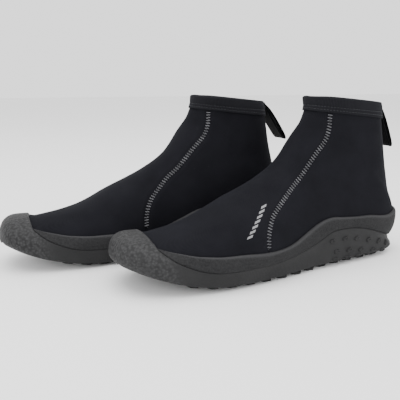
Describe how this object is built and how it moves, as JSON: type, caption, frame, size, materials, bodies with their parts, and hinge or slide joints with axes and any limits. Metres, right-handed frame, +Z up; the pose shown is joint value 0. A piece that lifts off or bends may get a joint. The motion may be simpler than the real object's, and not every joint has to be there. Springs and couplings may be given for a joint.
{
  "type": "neoprene boots",
  "caption": "Pair of low neoprene water-sport boots with rubber cup soles, wrapped toe caps, bound collars and hanging webbing pull tabs.",
  "frame": {"origin": "centre of the pair's bounding box on the floor, under the soles", "axes": "toes point to -X, the left boot is on the -Y side and stands behind the right one, +Z is up"},
  "size_m": [0.3956, 0.2022, 0.1628],
  "materials": {
    "neoprene": "matte jersey knit",
    "binding": "matte ribbed jersey",
    "webbing": "ribbed webbing",
    "thread": "polyester thread",
    "sole_rubber": "fine textured",
    "foxing_rubber": "stippled",
    "print": "screen print",
    "board": "pressed fibre",
    "footbed_foam": "knit-topped foam"
  },
  "bodies": {
    "left_boot": {"left_outsole": "sole_rubber", "left_tread": "sole_rubber", "left_heel_nubs": "sole_rubber", "left_foxing_band": "foxing_rubber", "left_vamp": "neoprene", "left_outer_quarter": "neoprene", "left_inner_quarter": "neoprene", "left_collar_binding": "binding", "left_outer_seam_thread": "thread", "left_inner_seam_thread": "thread", "left_side_print": "print", "left_insole_board": "board", "left_footbed": "footbed_foam"},
    "right_boot": {"right_outsole": "sole_rubber", "right_tread": "sole_rubber", "right_heel_nubs": "sole_rubber", "right_foxing_band": "foxing_rubber", "right_vamp": "neoprene", "right_outer_quarter": "neoprene", "right_inner_quarter": "neoprene", "right_collar_binding": "binding", "right_outer_seam_thread": "thread", "right_inner_seam_thread": "thread", "right_side_print": "print", "right_insole_board": "board", "right_footbed": "footbed_foam"},
    "left_tab": {"left_pull_tab": "webbing"},
    "right_tab": {"right_pull_tab": "webbing"}
  },
  "joints": [
    {"name": "left_tab_lift", "type": "hinge", "parent": "left_boot", "child": "left_tab", "pos_m": [0.16996, -0.03934, 0.1495], "axis": [0.0454, -0.999, 0], "range_deg": [-4, 120], "stiffness_Nm_per_rad": 0.02, "springref_deg": 1.03},
    {"name": "pair_spread", "type": "slide", "parent": "left_boot", "child": "right_boot", "axis": [0, 1, 0], "range_m": [0, 0.15]},
    {"name": "right_tab_lift", "type": "hinge", "parent": "right_boot", "child": "right_tab", "pos_m": [0.08396, 0.03934, 0.1495], "axis": [-0.0454, -0.999, 0], "range_deg": [-14, 112], "stiffness_Nm_per_rad": 0.02, "springref_deg": 1.03}
  ]
}
